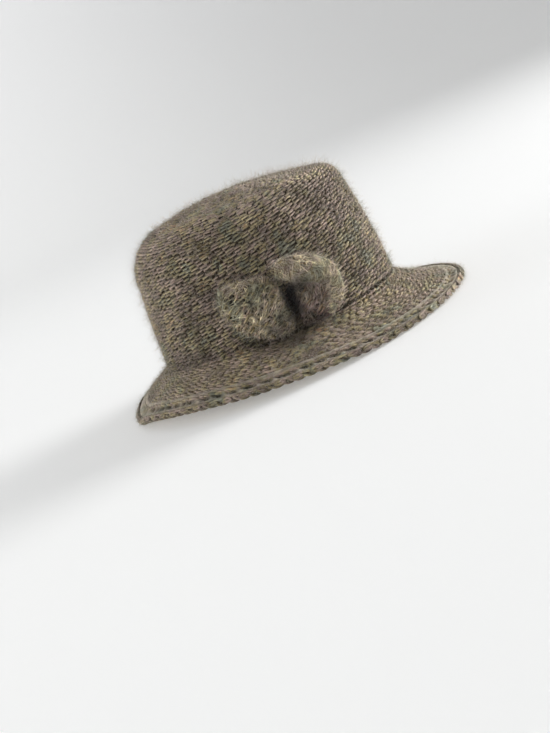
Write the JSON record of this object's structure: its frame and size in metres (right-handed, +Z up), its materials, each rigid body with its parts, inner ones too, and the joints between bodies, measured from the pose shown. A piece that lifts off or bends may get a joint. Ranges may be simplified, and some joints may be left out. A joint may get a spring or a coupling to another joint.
{
  "type": "knitted wool hat with brim",
  "caption": "Hand-knitted wool hat with a rounded flat-topped crown, a sloping brim with a thick bound-off edge and a knitted bow at one side.",
  "frame": {"origin": "on the surface the hat rests on, under the middle of its box", "axes": "+Z up through the crown, front of the hat towards -Y, wearer's right, with the bow, towards -X"},
  "size_m": [0.27, 0.3026, 0.1452],
  "materials": {
    "hat_wool": "hand-knitted tweed-coloured wool with a soft fuzzy surface",
    "edge_wool": "thick bound-off stitches of the same wool",
    "bow_mohair": "loose fluffy mohair knit with long fine hairs"
  },
  "bodies": {
    "root": {"crown": "hat_wool", "brim": "hat_wool", "brim_edge": "edge_wool", "bow_back_loop": "bow_mohair", "bow_front_loop": "bow_mohair", "bow_front_roll": "bow_mohair"}
  },
  "joints": []
}
